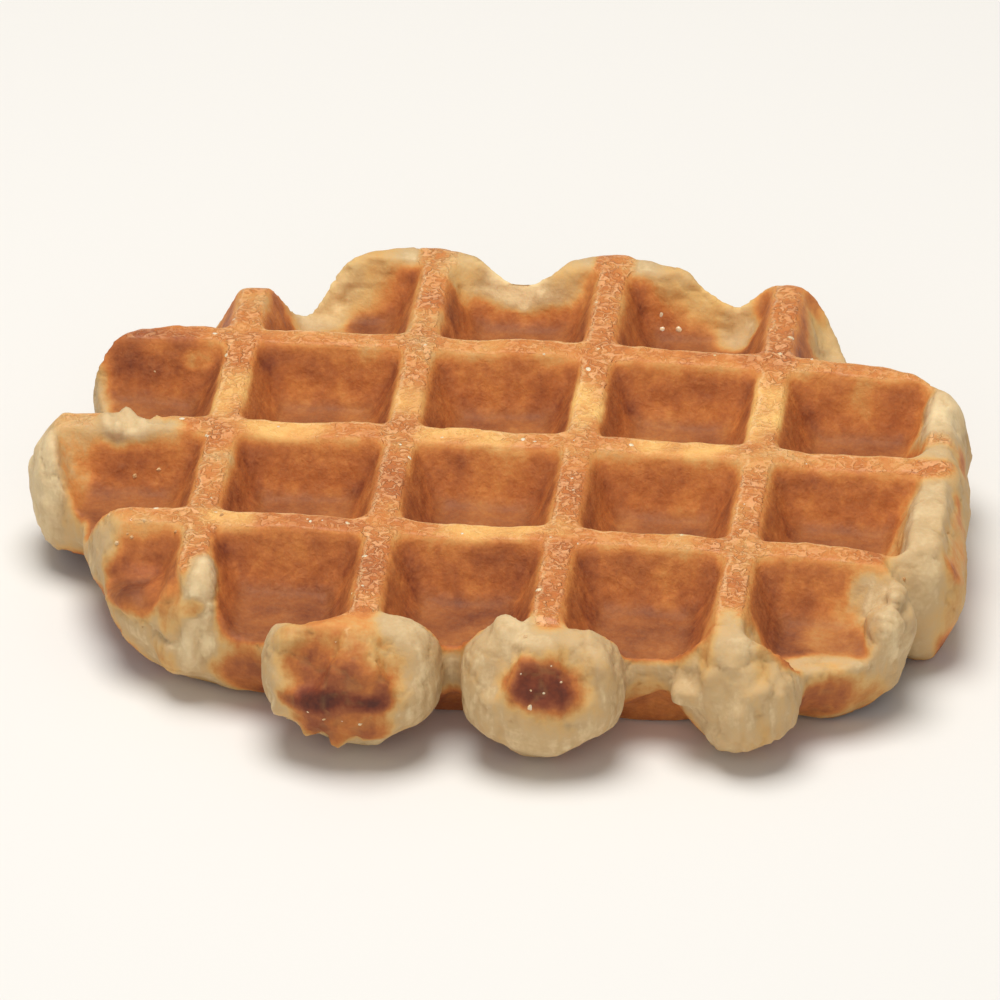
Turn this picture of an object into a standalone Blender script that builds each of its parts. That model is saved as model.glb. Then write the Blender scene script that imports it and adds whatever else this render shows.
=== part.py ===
"""Liege waffle: one piece of baked pearl-sugar dough, lying on its lower face.

The dough lies between two waffle-iron plates. Each plate presses a square grid of pockets into it,
and the lower plate's cross ribs lie half a pitch off the upper plate's. The dough does not reach the
plates' edges: it ran out along the ribs and stopped, so its outline is a union of rounded runs, and
the longest runs end in swollen knobs. A free edge bulges until it meets a plate.

Lengths are millimetres until a mesh is made; meshes are metres. X runs along the long side and
+Z is up. Column ribs run along Y and row ribs along X, and (0, 0) is the middle of the ribs' grid.
"""

import math
from typing import NamedTuple

import bmesh
import bpy
import numpy as np

NAME = "waffle"
MM = 0.001

# The two plates.
PITCH = 27.0                    # from rib to rib, both ways
RIB_FLAT = 4.2                  # width of a rib's top
POCKET_DEPTH = 9.0
WALL_LEAN = 0.45                # how far a pocket's wall runs in for each millimetre down
WEB = 4.5                       # dough between an upper pocket's floor and a lower pocket's
THICKNESS = 2.0 * POCKET_DEPTH + WEB
MIDDLE = THICKNESS / 2.0
UPPER_SHIFT = 0.6               # the upper plate lies this far off the lower one, both ways
LOWER_ROW_SHIFT = PITCH / 2.0   # and the lower plate's row ribs lie between the upper plate's
POCKET_CORNER = 3.0             # rounding between two walls of a pocket
RIB_EDGE = 1.2                  # rounding between a rib's top and its wall
FLOOR_EDGE = 3.2                # rounding between a wall and the floor

# The free edge, where the dough stopped.
BULGE_HEIGHT = 12.6             # above and below the middle, if no plate were in the way
UPPER_BULGE_WIDTH = 7.0
LOWER_BULGE_WIDTH = 10.5
PLATE_CREASE = 1.3              # rounding where a free surface meets a plate
RUN_BLEND = 4.0                 # fillet between two runs of dough
KNOB_BLEND = 2.0
KNOB_SQUARENESS = 2.3           # 2 is a ball, more is boxier
KNOB_SPREAD = 0.45              # share by which the lower pockets are shallower under a knob
KNOB_CREASE = 3.0               # rounding where a knob meets the lower plate
KNOB_NEAR = (1.5, 0.9)          # from its middle, in half axes, where that starts and is complete
EDGE_RIPPLE = 0.5
OUTSIDE_FALL = 3.0              # slope with which the two sides cross outside the outline

# The upper side's unevenness.
DOME_ALONG = 1.1                # how much lower the ends of the long side are
DOME_ACROSS = 0.6
RIB_RIPPLE = 0.22
SAG_ALONG = 8.5                 # half length of a slack stretch of rib
SAG_ACROSS = 4.2

# Meshing.
GRID_STEP = 0.8
VOXEL = 0.75
TRIANGLES = 11400
REST_BAND = 0.22                # what lies this low is pressed flat, so that the waffle rests
HALF_LENGTH = 84.0
HALF_WIDTH = 76.0
PLATE_CLEARANCE = 12.0


class Run(NamedTuple):
    """A run of dough with round ends: from (x0, y0), radius r0, to (x1, y1), radius r1."""

    x0: float
    y0: float
    r0: float
    x1: float
    y1: float
    r1: float


class Knob(NamedTuple):
    """A swollen end: its centre and its three half axes."""

    x: float
    y: float
    z: float
    rx: float
    ry: float
    rz: float


class Slack(NamedTuple):
    """A stretch of rib that the dough did not quite fill: its middle, its direction, its drop."""

    x: float
    y: float
    along_x: bool
    drop: float


def column(number):
    """X of a column rib: 0 is left of the dough, 1 to 5 run from left to right."""
    return (number - 2.5) * PITCH


def row(number):
    """Y of an upper row rib: 0 is the back edge's, 3 the front one's."""
    return (2 - number) * PITCH


# The middle of the dough, a squarish ellipse, and what ran out of it.
SHEET_CENTRE = (3.0, 1.0)
SHEET_HALF = (63.0, 50.5)
SHEET_SQUARENESS = 3.0

RUNS = (
    Run(column(1) - 0.5, -30.0, 12.0, column(1), 37.0, 7.5),
    Run(column(2) - 0.5, -46.5, 11.0, column(2) - 2.0, 44.5, 16.0),
    Run(column(3), -46.5, 11.0, column(3) + 2.0, 45.0, 16.0),
    Run(column(4) + 2.0, -44.5, 9.5, column(4) - 0.3, 45.2, 9.4),
    Run(column(5) - 1.0, -19.0, 7.5, column(5) - 2.5, 19.5, 6.5),
    Run(-53.0, row(1) - 3.5, 8.5, 61.0, row(1) - 4.0, 7.5),
    Run(-58.5, row(2) - 2.0, 10.5, 64.0, row(2) - 1.0, 7.5),
    Run(-43.0, row(3), 10.0, 55.0, row(3) - 5.5, 11.8),
    Run(0.0, 41.5, 9.0, 27.5, 43.5, 9.0),
)

KNOBS = (
    Knob(column(1) + 1.2, -36.5, 13.4, 4.6, 9.0, 9.4),
    Knob(column(1) + 0.5, -36.5, 8.6, 6.3, 8.8, 6.4),
    Knob(column(2) - 1.0, -51.5, 12.4, 13.4, 11.0, 11.2),
    Knob(column(3) + 0.5, -52.0, 11.8, 12.4, 9.8, 10.8),
    Knob(column(4) + 2.0, -49.4, 11.2, 9.0, 8.2, 10.0),
    Knob(column(4) - 5.5, -52.0, 12.0, 3.8, 3.4, 3.4),
)

SLACKS = (
    Slack(column(1), row(1) - PITCH / 2, False, 0.8),
    Slack(column(2), row(1) - PITCH / 2, False, 0.5),
    Slack(column(3), row(1) - PITCH / 2, False, 0.7),
    Slack(column(4), row(1) - PITCH / 2, False, 1.1),
    Slack(column(1) + PITCH / 2, row(2), True, 0.6),
    Slack(column(2) + PITCH / 2, row(2), True, 0.5),
    Slack(column(3) + PITCH / 2, row(2), True, 0.2),
    Slack(column(2) + PITCH / 2, row(3), True, 0.5),
    Slack(column(4) + PITCH / 2, row(2), True, 0.9),
)


def soft_min(a, b, width):
    """The smaller of two fields, rounded where they cross."""
    share = np.clip(0.5 + 0.5 * (b - a) / width, 0.0, 1.0)
    return b + (a - b) * share - width * share * (1.0 - share)


def soft_max(a, b, width):
    """The larger of two fields, rounded where they cross."""
    return -soft_min(-a, -b, width)


def ripple(x, y, wavelength, turn):
    """A wandering field of about -1 to 1, from crossed waves that never line up."""
    k = 2.0 * math.pi / wavelength
    total = 0.0
    for order, (bend, stretch) in enumerate(((0.3, 1.0), (1.7, 1.3), (2.9, 0.8), (4.4, 1.7))):
        angle = bend + turn
        along = x * math.cos(angle) + y * math.sin(angle)
        total = total + np.sin(k * stretch * along + 2.1 * order + 3.0 * turn) / stretch
    return total / 2.6


def run_depth(x, y, run):
    """Distance inside a run of dough; negative outside it."""
    dx = run.x1 - run.x0
    dy = run.y1 - run.y0
    along = np.clip(((x - run.x0) * dx + (y - run.y0) * dy) / (dx * dx + dy * dy), 0.0, 1.0)
    radius = run.r0 + (run.r1 - run.r0) * along
    return radius - np.hypot(x - run.x0 - along * dx, y - run.y0 - along * dy)


def dough_depth(x, y):
    """Distance inside the dough's outline, seen from above; negative outside it."""
    power = SHEET_SQUARENESS
    across = np.abs((x - SHEET_CENTRE[0]) / SHEET_HALF[0]) ** power
    up = np.abs((y - SHEET_CENTRE[1]) / SHEET_HALF[1]) ** power
    depth = (1.0 - (across + up) ** (1.0 / power)) * SHEET_HALF[1]
    for run in RUNS:
        depth = soft_max(depth, run_depth(x, y, run), RUN_BLEND)
    return depth + EDGE_RIPPLE * ripple(x, y, 17.0, 0.6)


def from_nearest_rib(place, shift):
    """Distance from the middle line of the nearest rib of one direction."""
    return np.abs((place - shift + PITCH / 2.0) % PITCH - PITCH / 2.0)


def pocket_depth(x, y, column_shift, row_shift):
    """How deep one plate's pockets are pressed at each place."""
    off_column = from_nearest_rib(x, column(3) + column_shift) - RIB_FLAT / 2.0
    off_row = from_nearest_rib(y, row_shift) - RIB_FLAT / 2.0
    wall = soft_min(off_column, off_row, POCKET_CORNER) / WALL_LEAN
    return soft_min(soft_max(wall, 0.0 * wall, RIB_EDGE), POCKET_DEPTH + 0.0 * wall, FLOOR_EDGE)


def slack(x, y):
    """How far the upper side lies below the plate that pressed it."""
    drop = DOME_ALONG * (x / 68.0) ** 2 + DOME_ACROSS * (y / 56.0) ** 2
    drop = drop + RIB_RIPPLE * ripple(x, y, 15.0, 0.0)
    for place in SLACKS:
        along, across = x - place.x, y - place.y
        if not place.along_x:
            along, across = across, along
        drop = drop + place.drop * np.exp(-((along / SAG_ALONG) ** 4) - (across / SAG_ACROSS) ** 2)
    return drop


def free_height(x, y, bulge_width, way):
    """Height above the middle (way 1) or below it (way -1) that the dough has where no plate is."""
    depth = dough_depth(x, y)
    inward = np.clip(depth / bulge_width, 0.0, 1.0)
    bulge = BULGE_HEIGHT * np.sqrt(1.0 - (1.0 - inward) ** 2)
    height = np.where(depth > 0.0, bulge, OUTSIDE_FALL * depth)
    power = KNOB_SQUARENESS
    for knob in KNOBS:
        reach = np.abs((x - knob.x) / knob.rx) ** power + np.abs((y - knob.y) / knob.ry) ** power
        half = np.maximum(1.0 - reach, 0.0) ** (1.0 / power) * knob.rz + way * (knob.z - MIDDLE)
        outside = OUTSIDE_FALL * (1.0 - reach) * knob.rx
        height = soft_max(height, np.where(reach < 1.0, half, outside), KNOB_BLEND)
    return height


def near_knob(x, y):
    """1 under a knob, falling smoothly to 0 away from all of them."""
    reach = np.minimum.reduce(
        [np.hypot((x - knob.x) / knob.rx, (y - knob.y) / knob.ry) for knob in KNOBS]
    )
    far, close = KNOB_NEAR
    share = np.clip((far - reach) / (far - close), 0.0, 1.0)
    return share * share * (3.0 - 2.0 * share)


def upper_side(x, y):
    """Z of the dough's upper side; it dives below the lower side outside the outline."""
    plate = THICKNESS - pocket_depth(x, y, UPPER_SHIFT, UPPER_SHIFT) - slack(x, y)
    return soft_min(MIDDLE + free_height(x, y, UPPER_BULGE_WIDTH, 1.0), plate, PLATE_CREASE)


def lower_side(x, y):
    """Z of the dough's lower side."""
    knob = near_knob(x, y)
    plate = pocket_depth(x, y, 0.0, LOWER_ROW_SHIFT) * (1.0 - KNOB_SPREAD * knob)
    crease = PLATE_CREASE + (KNOB_CREASE - PLATE_CREASE) * knob
    return soft_max(MIDDLE - free_height(x, y, LOWER_BULGE_WIDTH, -1.0), plate, crease)


def new_object(name, mesh, collection):
    """Wraps a mesh in an object of the collection."""
    made = bpy.data.objects.new(name, mesh)
    collection.objects.link(made)
    return made


def write_positions(mesh, positions):
    """Moves a mesh's vertices to an array of places in millimetres."""
    mesh.vertices.foreach_set("co", (positions * MM).astype(np.float32).ravel())
    mesh.update()


def read_positions(mesh):
    """A mesh's vertices as an array in millimetres."""
    flat = np.empty(len(mesh.vertices) * 3, dtype=np.float32)
    mesh.vertices.foreach_get("co", flat)
    return flat.reshape(-1, 3).astype(float) / MM


def half_space(name, side, far_z, collection):
    """A closed block whose one face follows a side of the dough, the other lying flat at far_z."""
    bm = bmesh.new()
    bmesh.ops.create_grid(
        bm,
        x_segments=int(2 * HALF_LENGTH / GRID_STEP),
        y_segments=int(2 * HALF_WIDTH / GRID_STEP),
        size=1.0,
    )
    near = len(bm.verts)
    bmesh.ops.extrude_face_region(bm, geom=bm.faces[:])
    bmesh.ops.recalc_face_normals(bm, faces=bm.faces[:])
    mesh = bpy.data.meshes.new(name)
    bm.to_mesh(mesh)
    bm.free()
    places = read_positions(mesh) * MM
    places[:, 0] *= HALF_LENGTH
    places[:, 1] *= HALF_WIDTH
    places[:near, 2] = far_z
    places[near:, 2] = side(places[near:, 0], places[near:, 1])
    write_positions(mesh, places)
    bm = bmesh.new()
    bm.from_mesh(mesh)
    bmesh.ops.recalc_face_normals(bm, faces=bm.faces[:])
    bm.to_mesh(mesh)
    bm.free()
    return new_object(name, mesh, collection)


def bake_modifiers(shape):
    """Replaces an object's mesh by what its modifiers make of it."""
    graph = bpy.context.evaluated_depsgraph_get()
    mesh = bpy.data.meshes.new_from_object(shape.evaluated_get(graph))
    shape.modifiers.clear()
    shape.data = mesh


def remove(objects):
    """Deletes construction pieces that are no longer needed."""
    for spent in list(objects):
        bpy.data.objects.remove(spent, do_unlink=True)


def pressed_dough(collection, construction):
    """The dough between the two plates, knobs and all."""
    dough = half_space(NAME, upper_side, -PLATE_CLEARANCE, collection)
    above = half_space("above_the_lower_plate", lower_side, THICKNESS + PLATE_CLEARANCE, construction)
    between = dough.modifiers.new("between the plates", "BOOLEAN")
    between.operation = "INTERSECT"
    between.solver = "MANIFOLD"
    between.object = above
    bake_modifiers(dough)
    remove([above])
    return dough


def skin(dough):
    """Gives the dough one even, softly rounded skin with few enough triangles."""
    remesh = dough.modifiers.new("even skin", "REMESH")
    remesh.mode = "VOXEL"
    remesh.voxel_size = VOXEL * MM
    smooth = dough.modifiers.new("soften", "SMOOTH")
    smooth.factor = 0.5
    smooth.iterations = 2
    bake_modifiers(dough)
    dough.data.calc_loop_triangles()
    decimate = dough.modifiers.new("fewer faces", "DECIMATE")
    decimate.ratio = TRIANGLES / len(dough.data.loop_triangles)
    bake_modifiers(dough)


def settle(dough):
    """Puts the origin under the middle of the bounding box and flattens what the waffle rests on."""
    places = read_positions(dough.data)
    low = places.min(axis=0)
    high = places.max(axis=0)
    places -= np.array(((low[0] + high[0]) / 2.0, (low[1] + high[1]) / 2.0, low[2]))
    places[places[:, 2] < REST_BAND, 2] = 0.0
    write_positions(dough.data, places)


def crust_material():
    """Baked dough: golden brown and dull."""
    material = bpy.data.materials.new("waffle_crust")
    material.use_nodes = True
    shader = material.node_tree.nodes["Principled BSDF"]
    shader.inputs["Base Color"].default_value = (0.55, 0.25, 0.07, 1.0)
    shader.inputs["Roughness"].default_value = 0.6
    shader.inputs["Metallic"].default_value = 0.0
    return material


def build():
    """Builds the waffle in its own collection."""
    remove(bpy.data.objects)
    collection = bpy.data.collections.new("liege_waffle")
    construction = bpy.data.collections.new("construction")
    bpy.context.scene.collection.children.link(collection)
    bpy.context.scene.collection.children.link(construction)
    dough = pressed_dough(collection, construction)
    bpy.data.collections.remove(construction)
    skin(dough)
    settle(dough)
    dough.data.materials.clear()
    dough.data.materials.append(crust_material())
    for face in dough.data.polygons:
        face.use_smooth = True


build()
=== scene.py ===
"""Looks of a Liege waffle: its baked crust, its pearl sugar and its crumbs.

The waffle's solid is loaded as a frame. The crust piece that replaces it is worked out from the
same named sizes, pressed between the same two plates, and given its fine relief and its browning.
Dough sizes are millimetres on the ribs' grid, where (0, 0) is the middle of the ribs, and the
finished meshes are metres in the frame's own place.
"""

import logging
import math
import random
from dataclasses import dataclass, field
from enum import Enum

import bmesh
import bpy
import numpy as np
from mathutils import Matrix, Vector, noise


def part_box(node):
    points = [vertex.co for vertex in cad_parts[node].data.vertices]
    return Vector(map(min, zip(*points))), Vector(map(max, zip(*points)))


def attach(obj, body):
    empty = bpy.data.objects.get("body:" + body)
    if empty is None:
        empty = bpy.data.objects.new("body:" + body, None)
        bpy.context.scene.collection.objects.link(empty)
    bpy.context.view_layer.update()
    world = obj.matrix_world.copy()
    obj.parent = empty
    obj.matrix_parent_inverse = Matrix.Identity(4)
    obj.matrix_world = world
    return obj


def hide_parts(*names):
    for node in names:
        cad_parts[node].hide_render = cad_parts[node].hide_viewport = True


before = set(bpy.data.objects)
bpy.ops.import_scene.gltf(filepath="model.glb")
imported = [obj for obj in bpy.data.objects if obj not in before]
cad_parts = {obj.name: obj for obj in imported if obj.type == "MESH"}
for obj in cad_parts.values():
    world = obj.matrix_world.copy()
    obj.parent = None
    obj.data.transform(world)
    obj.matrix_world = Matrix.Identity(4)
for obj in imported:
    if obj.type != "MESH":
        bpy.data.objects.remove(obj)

log = logging.getLogger("waffle")

BODY = "root"
NODE = "waffle"
MM = 0.001
DOWN = Vector((0.0, 0.0, -1.0))
BACK = Vector((0.0, 1.0, 0.0))

Array = np.ndarray
Colour = tuple[float, float, float]
Hit = tuple[Vector, Vector] | None
Rows = tuple[tuple, ...]
Wire = bpy.types.NodeSocket


class Face(Enum):
    """The two faces of the waffle, with the way each one looks."""

    UPPER = 1.0
    LOWER = -1.0


class Run(Enum):
    """The direction of a stretch of rib."""

    ALONG_X = "along x"
    ALONG_Y = "along y"


class Tint(Enum):
    """How far a patch of crust is baked, from 0 for raw cream to 1 for nearly burnt."""

    MILK = 0.0
    CREAM = 0.12
    HONEY = 0.24
    AMBER = 0.44
    BROWN = 0.68
    MAROON = 0.98


class Trait(Enum):
    """What else marks a patch of crust."""

    GOLD = "gold"
    TORN = "torn"


MILK, CREAM, HONEY, AMBER, BROWN, MAROON = Tint
GOLD, TORN = Trait


def soft_min(a: Array, b: Array, width: float) -> Array:
    """The smaller of two fields, rounded over a width where they cross."""
    share = np.clip(0.5 + 0.5 * (b - a) / width, 0.0, 1.0)
    return b + (a - b) * share - width * share * (1.0 - share)


def soft_max(a: Array, b: Array, width: float) -> Array:
    """The larger of two fields, rounded over a width where they cross."""
    return -soft_min(-a, -b, width)


def fade(value: Array, low: float, high: float) -> Array:
    """A smooth step from 0 at low to 1 at high, which may be below low."""
    t = np.clip((value - low) / (high - low), 0.0, 1.0)
    return t * t * (3.0 - 2.0 * t)


def ripple(x: Array, y: Array, wavelength: float, turn: float) -> Array:
    """A wandering field of about -1 to 1, from crossed waves that never line up.

    Args:
        x: Places along the waffle.
        y: Places across it.
        wavelength: The length of the main wave.
        turn: Turns and shifts the waves.

    Returns:
        The field.
    """
    k = 2.0 * math.pi / wavelength
    total = np.zeros_like(x)
    for order, (bend, stretch) in enumerate(((0.3, 1.0), (1.7, 1.3), (2.9, 0.8), (4.4, 1.7))):
        angle = bend + turn
        along = x * math.cos(angle) + y * math.sin(angle)
        total = total + np.sin(k * stretch * along + 2.1 * order + 3.0 * turn) / stretch
    return total / 2.6


def grain(places: Array, size: float, octaves: int, shift: float) -> Array:
    """Rough noise of about -1 to 1 at each point, with lumps of one size and finer ones on them."""
    scaled = places / size + shift
    return np.array([noise.fractal(Vector(p), 1.0, 2.0, octaves) for p in scaled])


@dataclass(frozen=True)
class Iron:
    """The two plates that press the dough."""

    pitch: float = 27.0
    rib_flat: float = 4.2
    pocket: float = 9.0
    wall_lean: float = 0.45
    web: float = 4.5
    upper_offset: float = 0.6
    pocket_corner: float = 2.2
    rib_edge: float = 0.6
    floor_edge: float = 3.2

    @property
    def thickness(self) -> float:
        """From the lower plate's deepest place to the upper plate's."""
        return 2.0 * self.pocket + self.web

    @property
    def middle(self) -> float:
        """Height of the middle of the web."""
        return self.thickness / 2.0

    def column(self, number: float) -> float:
        """X of a column rib: 0 is left of the dough, 1 to 5 run from left to right."""
        return (number - 2.5) * self.pitch

    def row(self, number: float) -> float:
        """Y of an upper row rib: 0 is the back edge's, 3 the front one's."""
        return (2 - number) * self.pitch

    def beside(self, place: Array, rib: float) -> Array:
        """Signed distance from the nearest of the ribs that lie whole pitches from one rib."""
        return (place - rib + self.pitch / 2.0) % self.pitch - self.pitch / 2.0

    def beside_column(self, x: Array, face: Face = Face.UPPER) -> Array:
        """Signed distance from the middle line of the nearest column rib."""
        upper = self.upper_offset if face is Face.UPPER else 0.0
        return self.beside(x, self.column(3) + upper)

    def beside_row(self, y: Array, face: Face = Face.UPPER) -> Array:
        """Signed distance from the nearest row rib; the lower plate's lie half a pitch off."""
        return self.beside(y, self.upper_offset if face is Face.UPPER else self.pitch / 2.0)

    def depth(self, x: Array, y: Array, face: Face) -> Array:
        """How deep one plate's pockets are pressed.

        Args:
            x: Places along the waffle.
            y: Places across it.
            face: The face that the plate presses.

        Returns:
            The depth below the rib tops.
        """
        off_column = np.abs(self.beside_column(x, face)) - self.rib_flat / 2.0
        off_row = np.abs(self.beside_row(y, face)) - self.rib_flat / 2.0
        wall = soft_min(off_column, off_row, self.pocket_corner) / self.wall_lean
        rounded = soft_max(wall, np.zeros_like(wall), self.rib_edge)
        return soft_min(rounded, np.full_like(wall, self.pocket), self.floor_edge)


@dataclass(frozen=True)
class Flow:
    """A run of dough with round ends, from one centre and radius to another."""

    x0: float
    y0: float
    r0: float
    x1: float
    y1: float
    r1: float

    def depth(self, x: Array, y: Array) -> Array:
        """Distance inside the run, negative outside it.

        Args:
            x: Places along the waffle.
            y: Places across it.

        Returns:
            The distances.
        """
        dx = self.x1 - self.x0
        dy = self.y1 - self.y0
        along = ((x - self.x0) * dx + (y - self.y0) * dy) / (dx * dx + dy * dy)
        along = np.clip(along, 0.0, 1.0)
        radius = self.r0 + (self.r1 - self.r0) * along
        return radius - np.hypot(x - self.x0 - along * dx, y - self.y0 - along * dy)


@dataclass(frozen=True)
class Slack:
    """A stretch of rib that the dough did not quite fill."""

    x: float
    y: float
    way: Run
    drop: float


@dataclass(frozen=True)
class Knob:
    """A rounded form, such as a swollen rib end: its centre and its three half axes."""

    x: float
    y: float
    z: float
    rx: float
    ry: float
    rz: float

    def aside(self, x: Array, y: Array) -> tuple[Array, Array]:
        """How far each place is from the centre along x and y, as shares of the half axes."""
        return (x - self.x) / self.rx, (y - self.y) / self.ry

    def reach(self, places: Array) -> Array:
        """How far out each point lies, where 1 is on the form's surface."""
        away = (places - (self.x, self.y, self.z)) / (self.rx, self.ry, self.rz)
        return np.sqrt((away**2).sum(axis=1))


@dataclass(frozen=True)
class Swell(Knob):
    """A lump of dough, or with a negative rise a dent or a fold."""

    rise: float

    def height(self, places: Array) -> Array:
        """How far the lump lifts each point, in millimetres."""
        return self.rise * fade(self.reach(places), 1.15, 0.1)


@dataclass(frozen=True)
class Patch(Knob):
    """A round patch of crust that differs from its neighbours."""

    kind: Tint | Trait
    strength: float = 1.0

    def cover(self, places: Array, wander: Array) -> Array:
        """How far each point lies in the patch, whose edge a noise makes uneven."""
        return self.strength * fade(self.reach(places) + 0.28 * wander, 1.28, 0.52)


@dataclass
class Dough:
    """The form of the dough: what the plates press and what ran free."""

    iron: Iron = field(default_factory=Iron)
    sheet_centre: tuple[float, float] = (3.0, 1.0)
    sheet_half: tuple[float, float] = (63.0, 50.5)
    sheet_squareness: float = 3.0
    run_blend: float = 4.0
    edge_ripple: float = 0.5
    edge_ripple_length: float = 17.0
    bulge_height: float = 12.6
    upper_bulge_width: float = 7.0
    lower_bulge_width: float = 10.5
    outside_fall: float = 3.0
    knob_blend: float = 2.0
    knob_squareness: float = 2.3
    plate_crease: float = 1.3
    knob_crease: float = 3.0
    knob_spread: float = 0.45
    dome_half: tuple[float, float] = (68.0, 56.0)
    dome_along: float = 1.1
    dome_across: float = 0.6
    rib_ripple: float = 0.22
    rib_ripple_length: float = 15.0
    sag_along: float = 8.5
    sag_across: float = 4.2
    swell_rows: Rows = (
        (15.2, -61, 16.8, 5, 5, 4.5, -1.1),
        (8.6, -53, 21.4, 2.6, 2.8, 2.6, 1.6),
        (15, -57, 21.8, 9, 2.2, 2.2, 0.6),
        (14.5, -51.2, 22.5, 8, 1.5, 1.8, -0.9),
        (23.5, -57, 18.5, 3.2, 4, 3.5, 1),
        (20.5, -61, 10, 5, 3, 0.9, -0.5),
        (10, -61, 8, 5, 3, 0.9, -0.4),
        (-23, -49.5, 22, 8.5, 7.5, 4, -2.2),
        (-24, -56, 20.3, 3.4, 4, 3.2, 1.3),
        (-16.5, -61.5, 8.2, 1.1, 2, 1.1, 0.6),
        (-13.6, -61.5, 8.6, 1, 2, 1, 0.6),
        (-10.4, -61.5, 8.8, 1.1, 2, 1.1, -0.9),
        (-24.6, -58.2, 8.8, 1.5, 3, 1.5, 1.2),
        (-22.5, -59, 6.6, 1.3, 3, 1.3, -1.1),
        (-20.4, -59.7, 5.6, 1.5, 3, 1.4, 1.2),
        (-18, -60, 4.9, 1.2, 3, 1.3, -1.1),
        (-15.8, -60.2, 4.8, 1.5, 3, 1.4, 1.2),
        (-13.2, -60.4, 5, 1.2, 3, 1.2, -0.9),
        (-25.2, -58.5, 6.6, 1.2, 2.5, 1.2, -0.9),
        (-38.2, -40.5, 20, 2.6, 7.5, 5, 1),
        (-42.2, -40, 18.5, 1.4, 6, 3, -0.9),
        (-36, -46, 14.5, 1.3, 3, 3, -0.8),
        (-41.8, -46, 12, 1.1, 3, 5, -1),
        (-38, -47, 11, 1, 3, 5.5, -0.9),
        (-39.8, -47, 10, 1, 3, 5, 0.7),
        (-35.2, -46.5, 9, 1.2, 3, 4, 0.8),
        (-44.5, -43.5, 10.4, 4.5, 3.5, 1.1, -1.1),
        (-48.5, -36, 14, 5, 6, 3, 2.4),
        (40.6, -56.8, 12, 2.4, 4, 5, -0.9),
        (47.6, -56.6, 10, 2.2, 4, 5, -0.8),
        (44.2, -57.8, 12.6, 2, 4, 6, 0.8),
        (38.5, -53, 15.5, 2.2, 4, 1.6, 0.6),
        (42.5, -56.5, 16.8, 2.6, 3, 1.3, -0.6),
        (46.5, -55.5, 14.2, 2.4, 4, 1.8, 0.6),
        (41.8, -58, 9.2, 2.4, 3, 1.4, 0.6),
        (45.6, -58, 7.6, 2.2, 3, 1.3, -0.6),
        (43.8, -57.5, 15, 1, 3, 3.4, -0.6),
        (48.8, -54, 12, 1.2, 4, 3.6, -0.6),
        (40, -56, 7.5, 3.5, 3.5, 1.1, -0.8),
        (45, -57.5, 5.6, 4.5, 3.5, 1, -0.7),
        (62.5, -34.5, 16, 6, 7, 8, 2.4),
        (66.5, -34.8, 17.4, 4.2, 3, 1.3, -1.3),
        (64.2, -33.5, 15.5, 1.3, 3, 3.5, -1),
        (69, -33, 14.5, 1, 3, 4, -0.6),
        (-57.6, 0.4, 22, 1.8, 1.8, 1.8, 1.2),
        (-53.5, -2.4, 21, 5, 1.6, 1.6, 0.5),
        (-54.6, 2, 22, 1.5, 1.6, 1.8, 1.2),
        (-52, 0.4, 22, 1.4, 1.6, 1.8, 0.9),
        (-55.6, -1.4, 21.2, 1.3, 1.4, 1.6, 0.9),
        (-50.2, 2, 22, 1.1, 1.2, 1.5, 0.8),
    )

    def flows(self) -> tuple[Flow, ...]:
        """The runs of dough along the ribs.

        Returns:
            The runs, which with the sheet between them make the outline.
        """
        column, row = self.iron.column, self.iron.row
        return (
            Flow(column(1) - 0.5, -30.0, 12.0, column(1), 37.0, 7.5),
            Flow(column(2) - 0.5, -46.5, 11.0, column(2) - 2.0, 44.5, 16.0),
            Flow(column(3), -46.5, 11.0, column(3) + 2.0, 45.0, 16.0),
            Flow(column(4) + 2.0, -44.5, 9.5, column(4) - 0.3, 45.2, 9.4),
            Flow(column(5) - 1.0, -19.0, 7.5, column(5) - 2.5, 19.5, 6.5),
            Flow(-53.0, row(1) - 3.5, 8.5, 61.0, row(1) - 4.0, 7.5),
            Flow(-58.5, row(2) - 2.0, 10.5, 64.0, row(2) - 1.0, 7.5),
            Flow(-43.0, row(3), 10.0, 55.0, row(3) - 5.5, 11.8),
            Flow(0.0, 41.5, 9.0, 27.5, 43.5, 9.0),
            Flow(-6.0, 42.3, 9.2, 5.5, 42.3, 9.2),
        )

    def knobs(self) -> tuple[Knob, ...]:
        """The swollen rib ends of the front edge.

        Returns:
            The rounded forms; two of the ends have more than one.
        """
        column = self.iron.column
        return (
            Knob(column(1) + 1.2, -36.5, 13.4, 4.6, 9.0, 9.4),
            Knob(column(1) + 0.5, -36.5, 8.6, 6.3, 8.8, 6.4),
            Knob(column(2) - 1.0, -51.5, 12.4, 13.4, 11.0, 11.2),
            Knob(column(3) + 0.5, -52.0, 11.8, 12.4, 9.8, 10.8),
            Knob(column(4) + 4.0, -49.4, 9.2, 7.6, 8.0, 8.2),
            Knob(column(4) + 2.2, -48.0, 14.6, 5.6, 8.0, 7.4),
            Knob(column(4) - 4.2, -51.5, 11.0, 3.6, 3.0, 2.2),
        )

    def slacks(self) -> tuple[Slack, ...]:
        """The stretches of rib that lie a little low.

        Returns:
            The stretches along y, then the ones along x.
        """
        column, row, half = self.iron.column, self.iron.row, self.iron.pitch / 2.0
        across = ((1, 0.8), (2, 0.5), (3, 0.7), (4, 1.1))
        along = ((1, 2, 0.6), (2, 2, 0.5), (3, 2, 0.2), (2, 3, 0.5), (4, 2, 0.9))
        return (
            *(Slack(column(n), row(1) - half, Run.ALONG_Y, drop) for n, drop in across),
            *(Slack(column(n) + half, row(m), Run.ALONG_X, drop) for n, m, drop in along),
        )

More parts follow.
